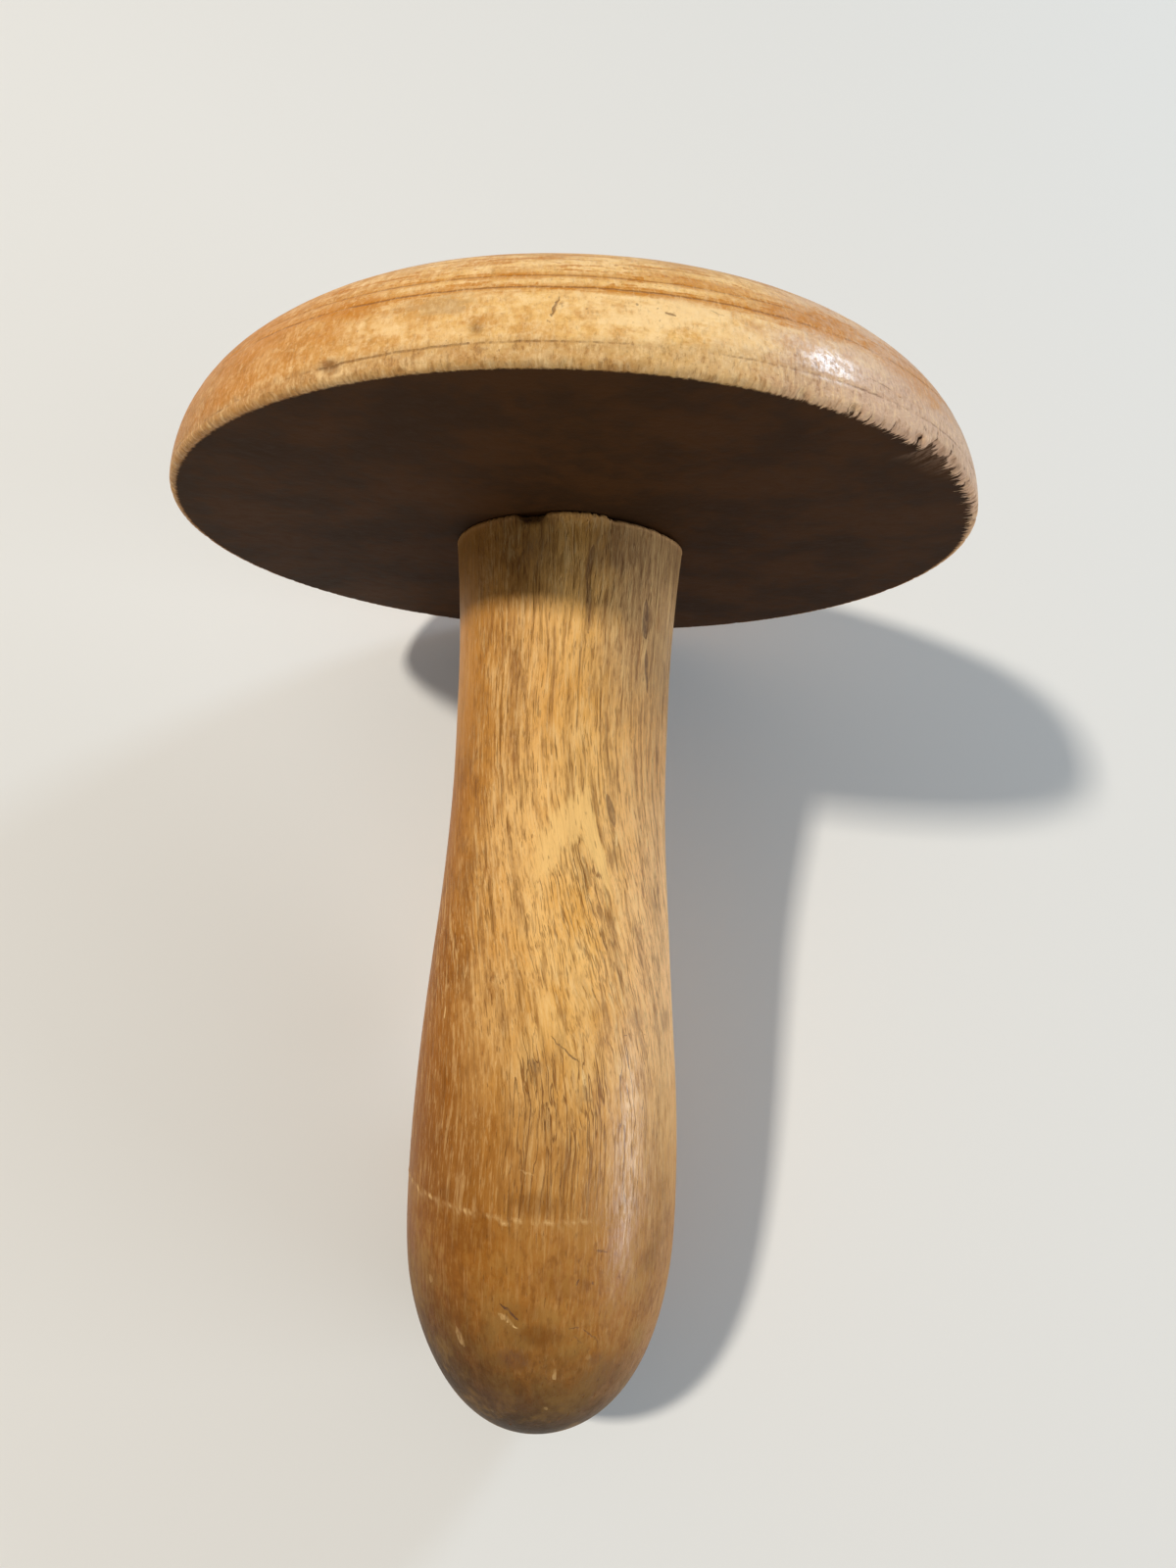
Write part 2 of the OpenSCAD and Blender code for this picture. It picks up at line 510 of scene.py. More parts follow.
def capOutline():
    fineRim, midRim = 14, 42         # degrees up the rim, where the rings are closest and close
    socket = capFacts["socketAcross"] / 2
    under = [(r, 0) for r in np.linspace(socket, 30, 6)]
    under += [(r, 0) for r in np.linspace(30.8, edgeCentre[0] - 0.1, 14)]
    return (
        [(0, capFacts["socketDeep"]), (socket, capFacts["socketDeep"])]
        + under
        + arcPoints(edgeCentre, capFacts["edgeRound"], -90, edgeAngle - 8, 7)
        + arcPoints(rimCentre, capFacts["rimRound"], edgeAngle, fineRim, 18)
        + arcPoints(rimCentre, capFacts["rimRound"], fineRim + 1.2, midRim, 16)
        + arcPoints(rimCentre, capFacts["rimRound"], midRim + 3, domeAngle, 7)
        + arcPoints(domeCentre, domeRound, domeAngle + 1.6, 90, 14)
    )


def rimRadius(height):
    return rimCentre[0] + math.sqrt(capFacts["rimRound"] ** 2 - height ** 2)


def wearCap(mesh):
    points = readPoints(mesh) / mm
    normals = readPoints(mesh, "normal")
    turn = turnsOf(points)
    radius = np.hypot(points[:, 0], points[:, 1])
    height = points[:, 2]
    outside = radius > capFacts["socketAcross"]
    flat = 0.05                     # what is lower than this lies on the underside
    scribe, toolLines = capFacts["scribe"], capFacts["toolLines"]
    edgeWear, bite = capFacts["edgeWear"], capFacts["bite"]
    shade = pressMarks(points, normals, capFacts["dents"], rimRadius)

    # The scribed line and the two fine tool lines
    across = np.sin(np.radians(turn))
    line = scribe["up"] + scribe["tilt"] * across - scribe["droop"] * np.clip(-across - 0.2, 0, 1) ** 2
    line = np.maximum(line, scribe["lowest"])
    broken = np.clip(0.8 + 0.4 * ripple(turn, 11, 2, 60), 0.2, 1.1)
    fromLine = height - line
    groove = np.clip(1 - np.abs(fromLine) / (scribe["wide"] / 2), 0, 1) * broken
    depth = scribe["deep"] * groove * (radius > 34)
    for up in toolLines["heights"]:
        depth += toolLines["deep"] * np.exp(-((height - up) / toolLines["wide"]) ** 2) * outside
    points -= normals * depth[:, None]

    # Torn fibres and chips along the underside edge, coarser on the ragged side
    ragged = ease(turn, edgeWear["from"], edgeWear["full"])
    ragged *= 1 - ease(turn, edgeWear["fades"], edgeWear["to"])
    fibres = np.clip(ripple(turn, 5, 110, 430), 0, 2)
    chips = np.clip(ripple(turn, 3, 25, 130) - 0.45, 0, 1.4)
    nick = edgeWear["fibre"] * fibres * (1 - ragged)
    nick += ragged * (edgeWear["raggedFibre"] * fibres + edgeWear["chip"] * chips)
    nick += 0.25 * edgeWear["chip"] * chips * (1 - ragged)
    edgeAt = edgeCentre[0] + capFacts["edgeRound"]
    fromEdge = np.where(height < flat, edgeAt - radius, np.maximum(height, 0))
    near = np.exp(-(fromEdge / edgeWear["reach"]) ** 2) * outside
    past = (turn - bite["turn"]) / bite["long"]
    bitten = ease(turn, bite["turn"] - 0.9, bite["turn"]) * (1 - ease(past, 0.15, 1.0))
    bitten *= 1 + 0.4 * ripple(turn, 9, 60, 300)
    ramp = 1 - ease(fromEdge, 0.2, bite["inwards"] * (0.45 + 0.55 * (1 - np.clip(past, 0, 1))))
    ramp = np.where(height < flat, ramp, np.exp(-(height / 0.7) ** 2)) * outside
    lifted = nick * near + bite["deep"] * np.clip(bitten, 0, 1.5) * ramp
    inwards = 0.3 * lifted
    points[:, 0] -= inwards * np.sin(np.radians(turn))
    points[:, 1] += inwards * np.cos(np.radians(turn))
    points[:, 2] += lifted

    torn = np.clip(np.clip(bitten, 0, 1) * ramp + near * nick * 2.0, 0, 1)
    tufts = np.exp(-((fromEdge - 0.7) / 0.8) ** 2) * np.clip(ripple(turn, 21, 30, 200), 0, 1)
    torn = np.maximum(torn, 0.5 * ragged * tufts * (height > flat))
    writePoints(mesh, points)
    keepField(mesh, "torn", np.clip(torn, 0, 1))
    keepField(mesh, "pale", np.clip(shade["pale"], 0, 1))
    keepField(mesh, "dark", np.clip(shade["dark"], 0, 1))
    keepField(mesh, "fromLine", np.clip(fromLine, -2, 2))


def capFinish():
    finish, graph, spot = startFinish("oldTurnedCap")
    x, y, z = graph.split(spot)
    radius = graph.maths("SQRT", x * x + y * y)
    turned = graph.maths("ARCTAN2", x, 0 - y)
    pale, dark, torn, fromLine = (graph.attribute(n) for n in ("pale", "dark", "torn", "fromLine"))
    cloud = graph.noise(spot, (0.12, 0.12, 0.12), detail=3.0, shift=(1, 6, 4))
    mottle = graph.noise(spot, (0.7, 0.7, 0.7), detail=4.0, rough=0.62, shift=(4, 4, 9))
    grit = graph.noise(spot, (2.6, 2.6, 2.6), detail=3.0, rough=0.65, shift=(2, 8, 5))

    # The board's grain runs along Y, so the near and far rim are end grain
    board = graph.wire(graph.make("ShaderNodeMapping", {}, {
        "Vector": spot, "Rotation": (math.radians(90), 0, 0)}))
    drift = graph.noise(board, (0.05, 0.05, 0.02), detail=2.0, shift=(2, 2, 8)) - 0.5
    depth = z + x * x * (1 / 260) + drift * 2.2
    phase = graph.maths("FRACT", depth * (1 / 1.9) + 20)
    early = 1 - graph.ease(phase, 0.2, 0.75)

    # Across the rim: torn fibres as short upright streaks, and stains that run along it
    roundIt = graph.join(turned * rimReach, radius, z)
    upright = graph.noise(roundIt, (1.9, 0.3, 0.7), detail=4.0, rough=0.62)
    fine = graph.noise(roundIt, (4.6, 0.5, 1.9), detail=3.0, rough=0.6, shift=(4, 4, 4))
    along = graph.noise(roundIt, (0.2, 0.2, 2.2), detail=4.0, rough=0.65, shift=(3, 5, 6))
    fibre = graph.noise(board, (3.0, 3.0, 0.16), detail=4.0, rough=0.6)
    streak = graph.noise(board, (0.5, 0.5, 0.05), detail=3.0, rough=0.6, shift=(8, 8, 3))
    blotch = graph.noise(roundIt, (0.6, 0.4, 1.0), detail=5.0, rough=0.68, shift=(1, 9, 4))
    relief = graph.noise(roundIt, (1.5, 0.6, 1.9), detail=4.0, rough=0.6, shift=(6, 1, 9))
    swath = graph.noise(roundIt, (0.17, 0.2, 0.5), detail=3.0, rough=0.6, shift=(7, 2, 3))
    frayed = stray(blotch, 2.4) + stray(along, 1.6)
    jagged = graph.ease(turned, 0.25, 0.7) * (1 - graph.ease(turned, 1.2, 1.5))
    edgeFray = stray(grit, 0.5) + ((fine - 0.45) * 2.2 + stray(upright, 2.6)) * jagged
    under = (1 - graph.ease(radius + edgeFray, 36.3, 36.6)) * (1 - graph.ease(z, 1.3, 1.6))
    upper = 1 - under
    endGrain = graph.ease(graph.maths("ABSOLUTE", y) / radius, 0.45, 0.85) * upper
    pores = poresOf(graph, board, 0.3 + early * 0.5) * (1 - endGrain) * upper

    # The rim is worn bare, and the old finish is left on the dome and along the tool lines
    worn = 1 - graph.ease(z + stray(cloud, 6.0) + stray(along, 6.0), 7.6, 11.5)
    tones = capFacts["tones"]
    dome = Paint(graph, tones, "domeDark")
    dome.over(graph.ease(cloud, 0.2, 0.8), "dome")
    dome.over(early * 0.5, "domeDark")
    dome.flecks([(streak, 0.48, 0.68, 0.5, "tan"), (fibre, 0.52, 0.38, 0.3, "domeDark")])
    fromMiddle = graph.maths("ABSOLUTE", turned - 0.12) + stray(mottle, 0.5)
    rim = Paint(graph, tones, "tan")
    rim.over(1 - graph.ease(fromMiddle, 0.2, 0.85), "cream")
    rim.over(graph.ease(0 - turned + stray(mottle, 0.4), 0.6, 1.1), "umber")
    inFront = 1 - graph.ease(turned + stray(mottle, 0.5), 0.95, 1.5) * 0.8
    # The rosier right of the rim is partly the wood's tone and partly painted cool light from the lamps on
    # that side.
    rosyHere = graph.ease(x + stray(mottle, 8.0), 9.0, 24.0) * inFront
    rim.over(rosyHere * 0.8, "rosy")
    # Darker towards the far left end of the rim: painted shade where the light falls away.
    rim.over(graph.ease(0 - turned, 0.75, 1.3) * 0.45, "domeDark")
    smeared = graph.ease(mottle * 0.6 + blotch * 0.4, 0.5, 0.62) * graph.ease(0 - turned, 0.2, 0.6)
    rim.over(smeared * 0.4, "umber")
    rawHere = 1 - graph.ease(0 - turned, 0.2, 0.9) * 0.75
    frontal = 1 - graph.ease(fromMiddle, 0.5, 0.9)
    rim.flecks([
        (swath, 0.5, 0.66, 0.45, "tan"),
        (swath, 0.5, 0.36, rawHere * 0.35, "raw"),
        (blotch, 0.46, 0.66, 0.45, "tan"),
        (blotch, 0.5, 0.34, rawHere * 0.45, "raw"),
        (relief, 0.52, 0.66, rawHere * 0.5, "raw"),
        (relief, 0.49, 0.35, 0.3, "tan"),
        (upright + stray(grit, 0.6), 0.5, 0.64, frontal * 0.4, "raw"),
        (grit, 0.55, 0.7, 0.25, "tan"),
    ])
    # More of the rosy tone on the right, again partly painted cool light.
    rosyHere = graph.ease(x + stray(swath, 20.0), 7.0, 20.0) * inFront
    rim.over(rosyHere * 0.62, "rosy")
    farUp = graph.ease(x, 20.0, 31.0) * graph.ease(z + stray(mottle, 3.0), 2.6, 5.6)
    rim.over(farUp * 0.55, "rosyDark")
    paint = Paint(graph, tones, dome.colour)
    paint.over(worn, rim.colour)
    stains = patchMask(graph, turned, z, rimReach, capFacts["stains"], frayed)
    paint.over(stains * (0.65 + graph.ease(relief, 0.4, 0.6) * 0.3), "amber")
    for patches, share, tone in (("pales", 0.7, "raw"), ("greys", 0.6, "grey")):
        paint.over(patchMask(graph, turned, z, rimReach, capFacts[patches], frayed) * share, tone)
    spots = patchMask(graph, turned, z, rimReach, capFacts["spots"], stray(grit, 1.2))
    paint.over(spots * 0.6, "line")
    band = graph.ease(z, 4.6, 5.2) * (1 - graph.ease(z, 8.8, 10.6))
    thin = graph.ease(along + stray(grit, 0.3) + stray(relief, 0.25), 0.53, 0.6) * band
    paint.over(thin * 0.8, "amber")
    lines = 0.0
    edging = 0.0
    toolLines = capFacts["toolLines"]
    for up, strength in zip(toolLines["heights"], toolLines["strengths"]):
        offset = graph.maths("ABSOLUTE", z - up + stray(mottle, 0.3))
        lines = lines + (1 - graph.ease(offset, 0.02, 0.12)) * strength
        edging = edging + (1 - graph.ease(offset + stray(blotch, 0.9), 0.06, 0.42)) * strength
    broken = graph.ease(upright * 0.4 + cloud * 0.6, 0.4, 0.52) * upper
    paint.over(edging * 0.7 * broken, "amber")
    paint.over(lines * 0.6 * broken, "line")
    risen = graph.ease(turned, 0.1, 0.5) * (1 - graph.ease(turned, 0.9, 1.2)) * (upright * 3.6 - 0.4)
    low = (1 - graph.ease(fromLine - risen + stray(mottle, 0.9), -0.1, 0.7)) * upper
    # Below the scribed line the band turns rosy to the right, partly painted cool light.
    lowTone = graph.colours(graph.ease(turned, 0.1, 0.6) * inFront, tones["grey"], tones["rosy"])
    paint.over(low * 0.45, lowTone)
    # The underside takes its dark tones: painted shade where it faces away from the lamps.
    clouded = graph.ease(cloud + stray(mottle, 0.5), 0.36, 0.64)
    paint.over(under, graph.colours(clouded, tones["underShadeDark"], tones["under"]))
    patchy = graph.ease(blotch, 0.4, 0.62)
    shows = worn * upper
    uprightDark = graph.ease(fine, 0.47, 0.34) * (0.08 + patchy * 0.16 + low * 0.24)
    paint.over(uprightDark * shows, "pore")
    uprightPale = graph.ease(fine, 0.53, 0.66) * (0.24 - patchy * 0.12 + low * 0.15)
    paint.over(uprightPale * shows, "raw")
    specks = graph.ease(grit + stray(fine, 0.5), 0.68, 0.78) * shows
    paint.over(specks * 0.5, "pore")
    paint.over(pores * (0.3 + (1 - worn) * 0.3), "pore")
    raggedness = graph.ease(fine + stray(grit, 0.4), 0.38, 0.6)
    tornTone = Paint(graph, tones, "raw")
    tornTone.over(graph.ease(turned, 0.3, 0.7) * inFront, "rosy")
    # Torn fibres on the underside take its painted shade too.
    tornTone.over(under * 0.7, "under")
    paint.over(torn * (0.2 + raggedness * 0.7), tornTone.colour)
    core = 1 - graph.ease(graph.maths("ABSOLUTE", fromLine + stray(mottle, 0.2)), 0.02, 0.11)
    core = core * graph.ease(cloud * 0.7 + upright * 0.5 - 0.1, 0.44, 0.6) * upper
    paint.over(core * 0.55, "line")
    wandering = graph.vector("ADD", spot, graph.scaled(graph.join(grit - 0.5, 0.0, mottle - 0.5), 0.5))
    scratches = lineMask(graph, wandering, capFacts["scratches"], rimRadius)
    paint.over(scratches * 0.85, "line")
    paint.over(pale * (0.3 + raggedness * 0.5), "raw")
    paint.over(dark * (0.4 + raggedness * 0.5), "line")

    shine = patchMask(graph, turned, z, rimReach, capFacts["shine"], stray(relief, 0.8))
    roughness = 0.4 + worn * upper * 0.04 + torn * 0.2 + under * 0.35 + pores * 0.15
    roughness = roughness + stray(mottle, 0.24) - stains * 0.06 - shine * 0.14
    height = mottle * 0.06 + grit * 0.04 * upper + fibre * (worn * 0.015 + 0.005) * upper - pores * 0.03
    height = height + (upright * 0.04 + fine * 0.03 + relief * 0.18) * shows
    height = height - lines * 0.04 - core * 0.04 - scratches * 0.06
    coat = shine * (0.14 + graph.ease(relief + stray(grit, 0.9), 0.42, 0.6) * 0.7)
    endFinish(graph, paint.colour, roughness, height, coat,
              {"Specular IOR Level": 0.12, "Coat Roughness": 0.3})
    return finish


capPiece = turnPiece("cap_turned", capOutline(), capFacts, capFinish())
wearCap(capPiece.data)
layDown(capPiece)
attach(capPiece, "root")
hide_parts("cap")
print("cap turned and worn:", len(capPiece.data.vertices), "points")


# The handle: what a user would change. Its heights run down from the shoulder, below zero.
handleFacts = {
    "long": 86.5,
    "neckAcross": 22.2,
    "waistAcross": 20.8,
    "waistAt": 16.5,
    "waistLong": 4,
    "bulbAcross": 26.6,
    "bulbAt": 64.5,
    "endFullness": 2.35,
    "tenonAcross": 12,
    "tenonLong": 11.5,
    "tenonChamfer": 1,
    "shoulderRound": 0.3,
    "slices": 320,
    "unevenness": 0.12,
    "unevenSize": 17,
    "evenInside": 8,
    "seed": 5.0,
    # The shoulder's edge: chips, a burr in front, a step on the right and a notch on the left
    "shoulderWear": {"chip": 0.06, "reach": 0.7, "burr": 0.24, "burrWide": 10,
                     "stepTurn": 15, "stepDeep": 0.26, "stepFades": 50, "stepEnds": 85,
                     "notchTurn": -19, "notchWide": 6.5, "notchDeep": 0.6},
    # How far the left of the free end is cut back
    "leanEnd": {"off": 0.45, "from": 70, "to": 82},
    # The broken ring where something once rubbed round the bulb
    "scuffRing": {"down": 61.95, "wide": 0.14, "deep": 0.08,
                  "from": -86, "full": -78, "fades": -6, "to": 32},
    "dents": [
        {"from": (-70.0, -16.5), "to": (-71.3, -6.2), "wide": 0.4, "deep": 0.15},
        {"from": (-72.4, -32.5), "to": (-74.2, -31.2), "wide": 0.45, "deep": 0.06},
        {"from": (-48.8, 14.2), "to": (-50.2, 15.2), "wide": 0.34, "deep": 0.08},
        {"from": (-50.6, 15.0), "to": (-51.3, 15.4), "wide": 0.32, "deep": 0.08, "dark": 0.5},
        {"from": (-52, 128), "to": (-56, 134), "wide": 0.4, "deep": 0.2, "dark": 0.5},
        {"from": (-33, -132), "to": (-39, -128), "wide": 0.3, "deep": 0.15, "dark": 0.5},
    ],
    # Cracks and scratches, then torn scars, each from a height and turn to another, with half its
    # width and its strength
    "scratches": [
        ((-48.7, -59.7), (-46.9, -30.0), 0.09, 0.5),
        ((-46.9, -30.0), (-46.0, 1.0), 0.09, 0.65),
        ((-46.0, 1.0), (-48.2, 12.5), 0.12, 0.85),
        ((-45.9, 32.0), (-46.3, 47.0), 0.08, 0.7),
        ((-64.5, 20.8), (-64.8, 26.7), 0.1, 0.7),
        ((-66.9, 15.5), (-67.5, 14.4), 0.12, 0.8),
        ((-67.2, 20.5), (-67.6, 21.4), 0.14, 0.6),
        ((-69.3, -14.2), (-70.6, -6.8), 0.12, 0.95),
        ((-71.4, 12.5), (-71.3, 17.2), 0.08, 0.55),
        ((-71.3, 17.2), (-73.2, 26.7), 0.08, 0.55),
        ((-71.9, 14.0), (-73.0, 19.0), 0.07, 0.4),
        ((-6.7, 42.3), (-10.2, 43.2), 0.5, 0.85),
        ((-11.0, 45.0), (-15.2, 47.4), 0.3, 0.8),
        ((-2.6, 10.8), (-6.0, 8.8), 0.3, 0.55),
        ((-6.0, 8.8), (-10.4, 10.4), 0.4, 0.65),
        ((-24.6, 23.5), (-27.4, 28.4), 0.4, 0.65),
    ],
    "scars": [
        ((-70.0, -16.8), (-71.4, -6.0), 0.24, 0.9),
        ((-70.2, -14.8), (-70.9, -9.4), 0.34, 0.55),
        ((-72.7, -33.7), (-74.4, -31.0), 0.42, 0.3),
        ((-75.3, 8.6), (-76.4, 8.9), 0.2, 0.35),
        ((-79.6, 5.8), (-79.9, 7.4), 0.26, 0.2),
        ((-81.0, -22.8), (-81.3, -21.4), 0.2, 0.25),
        ((-74.2, 21.8), (-74.7, 22.8), 0.34, 0.15),
        ((-69.0, -48.6), (-69.6, -47.4), 0.4, 0.22),
        ((-57.6, -9.0), (-57.9, -4.0), 0.12, 0.6),
        ((-48.6, 14.0), (-50.4, 15.4), 0.24, 0.8),
        ((-27.7, 29.3), (-29.2, 29.9), 0.18, 1.0),
        ((-27.5, 45.0), (-28.9, 46.2), 0.2, 0.8),
        ((-28.2, 50.3), (-29.3, 50.8), 0.16, 0.7),
        ((-40.2, -41.0), (-41.8, -41.4), 0.16, 0.8),
        ((-44.6, -52.0), (-46.0, -52.3), 0.14, 0.7),
    ],
    # Brown patches, bruises and burnished places, each at a height and turn, with its reach up and
    # round and its strength
    "stains": [
        (-72.0, 0.5, 1.6, 3.0, 0.8),
        (-60.3, -2.5, 1.5, 2.8, 0.6),
        (-61.0, -40.5, 1.2, 1.2, 0.5),
        (-66.6, 49.0, 1.6, 2.0, 0.5),
        (-70.0, -6.0, 1.4, 2.4, 0.4),
        (-40.0, 150.0, 5.0, 4.0, 0.5),
    ],
    "bruises": [
        (-48.6, -4.5, 0.9, 0.9, 0.6),
        (-44.7, 41.0, 1.3, 1.4, 0.5),
        (-45.4, 64.0, 1.5, 1.8, 0.6),
        (-74.5, -8.3, 1.3, 1.8, 0.75),
        (-74.8, 26.0, 0.9, 1.1, 0.6),
        (-76.7, 34.3, 2.4, 3.6, 0.5),
        (-79.5, -18.0, 2.0, 5.0, 0.5),
        (-2.5, 20.0, 2.6, 3.6, 0.5),
        (-3.4, -16.0, 2.2, 2.4, 0.5),
        (-30.0, 130.0, 3.0, 3.0, 0.4),
    ],
    "shine": [
        (-57.0, 33.0, 15.0, 6.0, 1.0),
        (-52.0, 28.0, 11.0, 10.0, 0.35),
        (-66.0, 28.0, 8.0, 10.0, 0.4),
    ],
    # Where the swell cuts a growth ring, a pale pointed arch: its top, turn and radius there, how blunt
    # and how deep it is, how far its legs (left, right) fall for each millimetre across, outside and
    # inside, how far they reach, its strength, and how far down its coarse pores run
    "arches": [
        {"top": -23.9, "turn": 11.0, "radius": 10.6, "blunt": 0.8, "outside": (1.5, 4.4), "deep": 3.6,
         "inside": (1.4, 2.1), "reach": (5.2, 4.4), "amount": 0.95, "throat": 15.0},
        {"top": -43.2, "turn": 1.0, "radius": 12.2, "blunt": 0.8, "outside": (1.6, 2.6), "deep": 2.6,
         "inside": (1.4, 1.8), "reach": (4.0, 5.0), "amount": 0.32, "throat": 17.0},
    ],
    # How far round the fibres lean as the handle swells
    "grainLean": {"from": 18, "to": 54, "turn": 32},
    # The growth rings' middles lie above the handle, so each is a shallow arch across it
    "rings": {"apart": 1.10, "first": 11.59, "curve": 40, "lean": 0.031, "leanFrom": -24, "aside": 0.14},
    "tones": {
        "umber": tint(112, 64, 12),
        # A cool grey for the right of the neck near the cap: painted shade lit only by the cool lamp.
        "paintedCoolShade": tint(148, 128, 106),
        "honey": tint(250, 196, 118),
        "gold": tint(230, 168, 84),
        "amber": tint(154, 90, 2),
        "bulb": tint(150, 90, 22),
        "rosy": tint(246, 188, 130),
        "latewood": tint(255, 208, 132),
        "pore": tint(122, 74, 26),
        "rosyPore": tint(116, 80, 56),
        # The darkest tone serves both grime and painted shade.
        "grimeAndShade": tint(32, 24, 10),
        "smudge": tint(176, 130, 66),
        "bruise": tint(92, 62, 48),
        "fleck": tint(246, 204, 140),
    },
}
gripReach = 12.5       # millimetres round the handle for each radian of turn
bulbReach = 13.0


def handleRadius(height):
    down = -height
    neckEnd = handleFacts["waistAt"] - handleFacts["waistLong"] / 2
    swellStart = handleFacts["waistAt"] + handleFacts["waistLong"] / 2
    if down < neckEnd:
        flare = handleFacts["neckAcross"] - handleFacts["waistAcross"]
        across = handleFacts["waistAcross"] + flare * (1 - down / neckEnd) ** 2
    elif down < swellStart:
        across = handleFacts["waistAcross"]
    elif down < handleFacts["bulbAt"]:
        share = (down - swellStart) / (handleFacts["bulbAt"] - swellStart)
        swell = handleFacts["bulbAcross"] - handleFacts["waistAcross"]
        across = handleFacts["waistAcross"] + swell * (1 - math.cos(math.pi * share)) / 2
    else:
        share = min(1, (down - handleFacts["bulbAt"]) / (handleFacts["long"] - handleFacts["bulbAt"]))
        fullness = handleFacts["endFullness"]
        across = handleFacts["bulbAcross"] * (1 - share ** fullness) ** (1 / fullness)
    return across / 2


def handleOutline():
    sideRings, endRings = 196, 62
    tenon, chamfer = handleFacts["tenonAcross"] / 2, handleFacts["tenonChamfer"]
    soft = handleFacts["shoulderRound"]
    shoulder = handleRadius(0)
    outline = [(0, handleFacts["tenonLong"]), (tenon - chamfer, handleFacts["tenonLong"])]
    outline += [(tenon, handleFacts["tenonLong"] - chamfer), (tenon, 0)]
    outline += [(r, 0) for r in np.linspace(tenon + 1, shoulder - soft - 0.2, 8)]
    outline += arcPoints((shoulder - soft, -soft), soft, 90, 0, 6)
    bulbAt = handleFacts["bulbAt"]
    outline += [(handleRadius(-d), -d) for d in np.linspace(soft + 0.15, bulbAt, sideRings)]
    for turn in np.radians(np.linspace(0, 90, endRings + 1)[1:]):
        down = bulbAt + (handleFacts["long"] - bulbAt) * math.sin(turn)
        outline.append((handleRadius(-down), -down))
    outline[-1] = (0, -handleFacts["long"])
    return outline


def wearHandle(mesh):
    points = readPoints(mesh) / mm
    normals = readPoints(mesh, "normal")
    turn = turnsOf(points)
    radius = np.hypot(points[:, 0], points[:, 1])
    height = points[:, 2]
    outside = radius > handleFacts["tenonAcross"] / 2 + 1.5
    shoulderWear, leanEnd = handleFacts["shoulderWear"], handleFacts["leanEnd"]
    scuffRing = handleFacts["scuffRing"]
    shade = pressMarks(points, normals, handleFacts["dents"], handleRadius)

    # The scuff ring wanders and breaks
    wander = 0.16 * ripple(turn, 31, 4, 90)
    spread = ease(turn, scuffRing["from"], scuffRing["full"])
    spread *= 1 - ease(turn, scuffRing["fades"], scuffRing["to"])
    broken = np.clip(0.5 + 0.7 * ripple(turn, 33, 6, 150), 0.08, 1.2)
    ring = np.exp(-((height + scuffRing["down"] + wander) / scuffRing["wide"]) ** 2) * spread * broken
    points -= normals * (scuffRing["deep"] * ring)[:, None]

    # The free end, cut back a little on one side
    slant = ease(-height, leanEnd["from"], leanEnd["to"]) * np.clip(-np.sin(np.radians(turn)), 0, 1)
    slant *= leanEnd["off"] * ease(radius, 1, 8)
    points[:, 0] += slant

    # The shoulder's edge: proud in front, notched to one side of that, and worn down to the other
    fromCorner = np.hypot(np.maximum(-height, 0), np.maximum(handleRadius(0) - radius, 0))
    near = np.exp(-(fromCorner / shoulderWear["reach"]) ** 2) * outside
    chip = shoulderWear["chip"] * (0.4 + np.clip(ripple(turn, 41, 20, 140), 0, 2))
    step = ease(turn, shoulderWear["stepTurn"], shoulderWear["stepTurn"] + 3)
    step *= 1 - ease(turn, shoulderWear["stepFades"], shoulderWear["stepEnds"])
    chip += shoulderWear["stepDeep"] * step
    notch = np.exp(-((turn - shoulderWear["notchTurn"]) / shoulderWear["notchWide"]) ** 4)
    chip += shoulderWear["notchDeep"] * notch
    burr = shoulderWear["burr"] * np.exp(-((turn - 1) / shoulderWear["burrWide"]) ** 4)
    points[:, 2] -= chip * near
    outwards = burr * near - 0.5 * chip * near
    points[:, 0] += outwards * np.sin(np.radians(turn))
    points[:, 1] -= outwards * np.cos(np.radians(turn))

    writePoints(mesh, points)
    keepField(mesh, "torn", np.clip(near * (0.3 + chip - 2 * notch), 0, 1))
    keepField(mesh, "pale", np.clip(shade["pale"] + 0.9 * ring, 0, 1))
    keepField(mesh, "dark", np.clip(shade["dark"] + notch * near, 0, 1))


# One pointed arch: how far a spot is in its pale band, and in the coarse pores below that
def archMasks(graph, turned, z, ragged, arch):
    across = (turned - math.radians(arch["turn"])) * arch["radius"]
    off = graph.maths("ABSOLUTE", across)
    right = graph.ease(across, -0.4, 0.4)

    def bySide(pair):
        return right * (pair[1] - pair[0]) + pair[0]

    outer = arch["top"] - graph.most(off - arch["blunt"], 0.0) * bySide(arch["outside"])
    inner = arch["top"] - arch["deep"] - off * bySide(arch["inside"])
    near = 1 - graph.ease(off / bySide(arch["reach"]), 0.5, 1.0)
    belowInner = inner - z + ragged
    band = graph.ease(outer - z + ragged, -0.6, 1.2) * (1 - graph.ease(belowInner, -0.8, 1.0))
    throat = graph.ease(belowInner, -0.4, 1.2)
    throat = throat * (1 - graph.ease(belowInner, arch["throat"] * 0.4, arch["throat"]))
    return band * near * arch["amount"], throat * near * arch["amount"]


